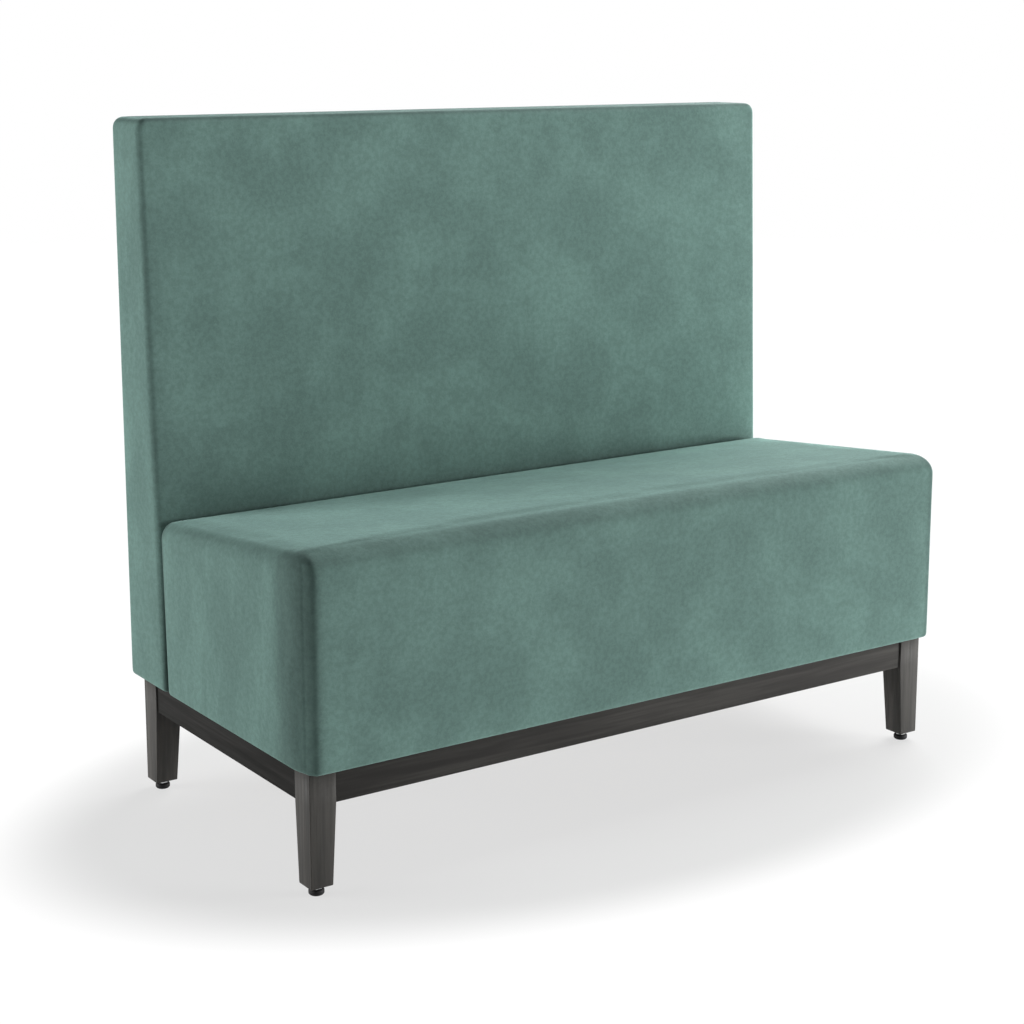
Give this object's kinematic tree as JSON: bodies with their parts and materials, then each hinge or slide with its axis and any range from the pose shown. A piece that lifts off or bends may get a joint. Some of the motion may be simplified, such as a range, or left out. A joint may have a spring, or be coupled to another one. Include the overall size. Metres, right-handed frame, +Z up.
{
  "type": "restaurant booth seating",
  "caption": "Upholstered single booth bench: box seat and high wedge back in suede-like cloth on a low dark wooden base with tapered legs and levelling feet.",
  "frame": {"origin": "centre of the bounding box's bottom face, on the floor under the middle of the booth", "axes": "+X towards the sitter's left hand end seen from behind the back, that is to the right seen from the front; +Y from the seat's front to the back; +Z up"},
  "size_m": [1.218, 0.59, 1.07],
  "materials": {
    "upholstery": "grey-green suede-like microfibre with a soft nap",
    "wood": "dark charcoal-brown stain, satin lacquer",
    "frame_wood": "planed softwood, bare",
    "plywood": "birch plywood, sanded",
    "foam": "cut polyurethane foam",
    "webbing": "woven elastic webbing",
    "lining": "black non-woven dust cover",
    "glide": "black nylon",
    "steel": "zinc plated"
  },
  "bodies": {
    "booth": {"leg_front_left": "wood", "leg_front_right": "wood", "leg_rear_left": "wood", "leg_rear_right": "wood", "apron_front": "wood", "apron_rear": "wood", "apron_left": "wood", "apron_right": "wood", "corner_block_front_left": "frame_wood", "corner_block_front_right": "frame_wood", "corner_block_rear_left": "frame_wood", "corner_block_rear_right": "frame_wood", "base_cross_rail": "frame_wood", "corner_bolts": "steel", "base_screws": "steel", "glide_inserts": "steel", "seat_front_board": "plywood", "seat_rear_board": "plywood", "seat_end_board_left": "plywood", "seat_end_board_right": "plywood", "seat_rib_left": "plywood", "seat_rib_right": "plywood", "seat_cleat_front": "frame_wood", "seat_cleat_rear": "frame_wood", "webbing_strap_1": "webbing", "webbing_strap_2": "webbing", "webbing_strap_3": "webbing", "webbing_strap_4": "webbing", "webbing_strap_5": "webbing", "webbing_strap_6": "webbing", "dust_cover": "lining", "back_stile_left": "frame_wood", "back_stile_right": "frame_wood", "back_middle_rail": "frame_wood", "back_top_rail": "frame_wood", "back_middle_stile": "frame_wood", "back_bottom_rail": "frame_wood", "back_mounting_board": "plywood", "back_front_panel": "plywood", "back_rear_panel": "plywood", "back_rear_cover": "upholstery", "joining_bolts": "steel", "joining_nuts": "steel", "seat_foam": "foam", "seat_front_foam": "foam", "seat_end_foam_left": "foam", "seat_end_foam_right": "foam", "seat_cover": "upholstery", "back_foam": "foam", "back_edge_foam": "foam", "back_cover": "upholstery"},
    "foot_front_left": {"glide_pad_front_left": "glide"},
    "screw_front_left": {"glide_stem_front_left": "steel"},
    "foot_front_right": {"glide_pad_front_right": "glide"},
    "screw_front_right": {"glide_stem_front_right": "steel"},
    "foot_rear_left": {"glide_pad_rear_left": "glide"},
    "screw_rear_left": {"glide_stem_rear_left": "steel"},
    "foot_rear_right": {"glide_pad_rear_right": "glide"},
    "screw_rear_right": {"glide_stem_rear_right": "steel"}
  },
  "joints": [
    {"name": "foot_front_left_travel", "type": "slide", "parent": "booth", "child": "foot_front_left", "axis": [0, 0, -1], "range_m": [0, 0.01]},
    {"name": "screw_front_left_turn", "type": "hinge", "parent": "foot_front_left", "child": "screw_front_left", "pos_m": [-0.576, -0.253, 0.02], "axis": [0, 0, 1], "range_deg": [0, 2880]},
    {"name": "foot_front_right_travel", "type": "slide", "parent": "booth", "child": "foot_front_right", "axis": [0, 0, -1], "range_m": [0, 0.01]},
    {"name": "screw_front_right_turn", "type": "hinge", "parent": "foot_front_right", "child": "screw_front_right", "pos_m": [0.576, -0.253, 0.02], "axis": [0, 0, 1], "range_deg": [0, 2880]},
    {"name": "foot_rear_left_travel", "type": "slide", "parent": "booth", "child": "foot_rear_left", "axis": [0, 0, -1], "range_m": [0, 0.01]},
    {"name": "screw_rear_left_turn", "type": "hinge", "parent": "foot_rear_left", "child": "screw_rear_left", "pos_m": [-0.576, 0.255, 0.02], "axis": [0, 0, 1], "range_deg": [0, 2880]},
    {"name": "foot_rear_right_travel", "type": "slide", "parent": "booth", "child": "foot_rear_right", "axis": [0, 0, -1], "range_m": [0, 0.01]},
    {"name": "screw_rear_right_turn", "type": "hinge", "parent": "foot_rear_right", "child": "screw_rear_right", "pos_m": [0.576, 0.255, 0.02], "axis": [0, 0, 1], "range_deg": [0, 2880]}
  ],
  "couplings": [
    {"joint": "screw_front_left_turn", "follows": "foot_front_left_travel", "rad_per_m": 5026.5},
    {"joint": "screw_front_right_turn", "follows": "foot_front_right_travel", "rad_per_m": 5026.5},
    {"joint": "screw_rear_left_turn", "follows": "foot_rear_left_travel", "rad_per_m": 5026.5},
    {"joint": "screw_rear_right_turn", "follows": "foot_rear_right_travel", "rad_per_m": 5026.5}
  ]
}
